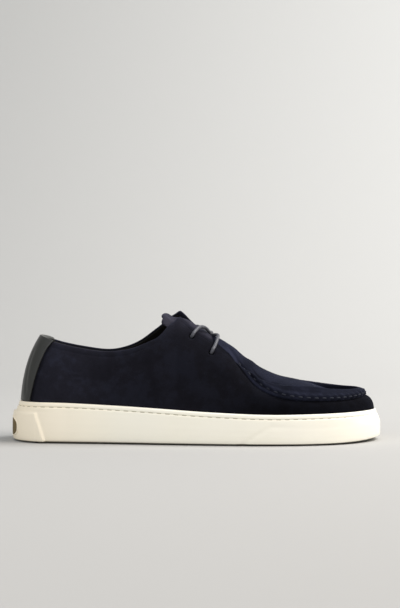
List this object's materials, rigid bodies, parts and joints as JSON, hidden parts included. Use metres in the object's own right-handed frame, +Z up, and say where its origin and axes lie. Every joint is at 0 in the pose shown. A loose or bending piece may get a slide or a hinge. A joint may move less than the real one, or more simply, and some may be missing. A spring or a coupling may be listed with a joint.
{
  "type": "low lace-up moccasin-toe sneaker",
  "caption": "Low lace-up sneaker for the right foot: hollow suede upper with a sewn moccasin toe, tongue, leather heel tab and waxed lace on a cream rubber cupsole.",
  "frame": {"origin": "on the floor, at the middle of the outsole's length; across, at the middle of the last's heel", "axes": "+X to the toe, -Y to the outer side of the foot, +Y to the inner side, +Z up"},
  "size_m": [0.3, 0.1089, 0.1036],
  "materials": {
    "sole": "satin moulded cream rubber",
    "upper": "dark navy suede",
    "insole": "matt dark brown lining leather",
    "tongue": "dark navy suede",
    "backtab": "smooth dark grey leather, low sheen",
    "lace": "round waxed grey cotton"
  },
  "bodies": {
    "root": {"sole": "sole", "upper": "upper", "insole": "insole", "tongue": "tongue", "backtab": "backtab", "lace": "lace"}
  },
  "joints": []
}
